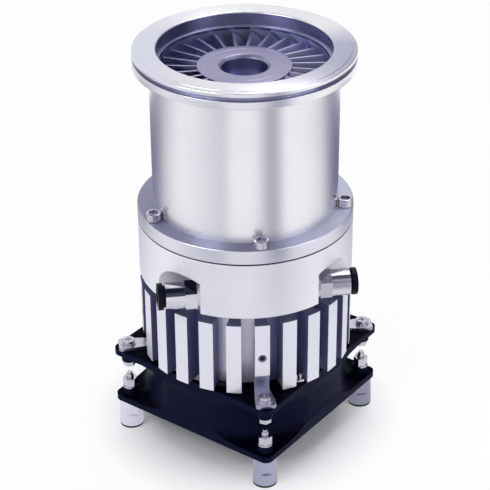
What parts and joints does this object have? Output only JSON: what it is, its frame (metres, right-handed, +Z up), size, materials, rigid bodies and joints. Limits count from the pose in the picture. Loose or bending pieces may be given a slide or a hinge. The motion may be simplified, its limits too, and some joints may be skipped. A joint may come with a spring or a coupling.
{
  "type": "turbomolecular pump",
  "caption": "Turbomolecular pump with a clamp-flanged inlet, turned casing, finned base with push-in coolant fittings, and a square fan on feet below.",
  "frame": {"origin": "on the floor under the rotor axis, at the centre of the four feet", "axes": "+Z up along the rotor axis, -Y towards the front bracket, coolant fittings along X, foreline port on +Y"},
  "size_m": [0.1656, 0.1656, 0.2552],
  "materials": {
    "polished_aluminium": "turned and polished",
    "satin_aluminium": "satin machined",
    "dark_anodised": "dark anodised, outer fin faces machined bright",
    "rotor_aluminium": "fine machined",
    "bright_steel": "zinc plated and stainless",
    "tool_steel": "ground",
    "magnet": "sintered, ground",
    "copper_winding": "enamelled wire, potted",
    "nickel": "nickel plated brass",
    "black_plastic": "moulded",
    "seal_rubber": "moulded",
    "foot_aluminium": "turned",
    "fan_black": "black lacquered die casting",
    "gold": "gold plated pins"
  },
  "bodies": {
    "housing": {"casing": "polished_aluminium", "casing_screws": "bright_steel", "casing_seal": "seal_rubber", "base_housing": "satin_aluminium", "finned_cooler": "dark_anodised", "cooler_screws": "bright_steel", "bottom_cover": "satin_aluminium", "bottom_cover_screws": "bright_steel", "stator_disc_1": "rotor_aluminium", "stator_disc_2": "rotor_aluminium", "stator_disc_3": "rotor_aluminium", "spacer_rings": "satin_aluminium", "drag_stator": "satin_aluminium", "bearing_housing": "satin_aluminium", "bearing_housing_screws": "bright_steel", "upper_bearing_outer": "tool_steel", "lower_bearing_outer": "tool_steel", "bearing_retainer": "tool_steel", "motor_stator": "tool_steel", "motor_windings": "copper_winding", "foreline_port": "satin_aluminium", "connector_shell": "nickel", "connector_insert": "black_plastic", "connector_pins": "gold", "connector_screws": "bright_steel", "coolant_fitting_left": "nickel", "coolant_fitting_right": "nickel", "fitting_washers": "bright_steel", "tube_seals": "seal_rubber", "fan_frame": "fan_black", "fan_motor_core": "copper_winding", "fan_bearing_sleeve": "tool_steel", "fan_terminals": "bright_steel", "bracket_front": "bright_steel", "bracket_right": "bright_steel", "bracket_rear": "bright_steel", "bracket_left": "bright_steel", "bracket_fin_screws": "bright_steel", "bracket_foot_screws": "bright_steel", "bracket_foot_washers": "bright_steel", "bracket_foot_nuts": "bright_steel", "feet": "foot_aluminium", "foot_pads": "seal_rubber", "foot_studs": "bright_steel", "foot_nuts": "bright_steel", "foot_washers": "bright_steel"},
    "rotor": {"rotor": "rotor_aluminium", "rotor_shaft": "tool_steel", "rotor_nut": "bright_steel", "shaft_spacer": "tool_steel", "motor_magnet": "magnet", "upper_bearing_inner": "tool_steel", "lower_bearing_inner": "tool_steel"},
    "fan_wheel": {"fan_impeller": "black_plastic", "fan_rotor_ring": "magnet", "fan_shaft": "tool_steel"},
    "left_collar": {"release_collar_left": "black_plastic"},
    "right_collar": {"release_collar_right": "black_plastic"},
    "upper_cage": {"upper_bearing_cage": "black_plastic"},
    "lower_cage": {"lower_bearing_cage": "black_plastic"}
  },
  "joints": [
    {"name": "rotor_spin", "type": "hinge", "parent": "housing", "child": "rotor", "pos_m": [0, 0, 0.2], "axis": [0, 0, 1], "continuous": true},
    {"name": "fan_spin", "type": "hinge", "parent": "housing", "child": "fan_wheel", "pos_m": [0, 0, 0.035], "axis": [0, 0, 1], "continuous": true},
    {"name": "left_collar_press", "type": "slide", "parent": "housing", "child": "left_collar", "axis": [1, 0, 0], "range_m": [0, 0.001], "stiffness_N_per_m": 600},
    {"name": "right_collar_press", "type": "slide", "parent": "housing", "child": "right_collar", "axis": [-1, 0, 0], "range_m": [0, 0.001], "stiffness_N_per_m": 600},
    {"name": "upper_cage_spin", "type": "hinge", "parent": "housing", "child": "upper_cage", "pos_m": [0, 0, 0.195], "axis": [0, 0, 1], "continuous": true},
    {"name": "lower_cage_spin", "type": "hinge", "parent": "housing", "child": "lower_cage", "pos_m": [0, 0, 0.1095], "axis": [0, 0, 1], "continuous": true}
  ],
  "couplings": [
    {"joint": "upper_cage_spin", "follows": "rotor_spin", "ratio": 0.4},
    {"joint": "lower_cage_spin", "follows": "rotor_spin", "ratio": 0.392}
  ]
}
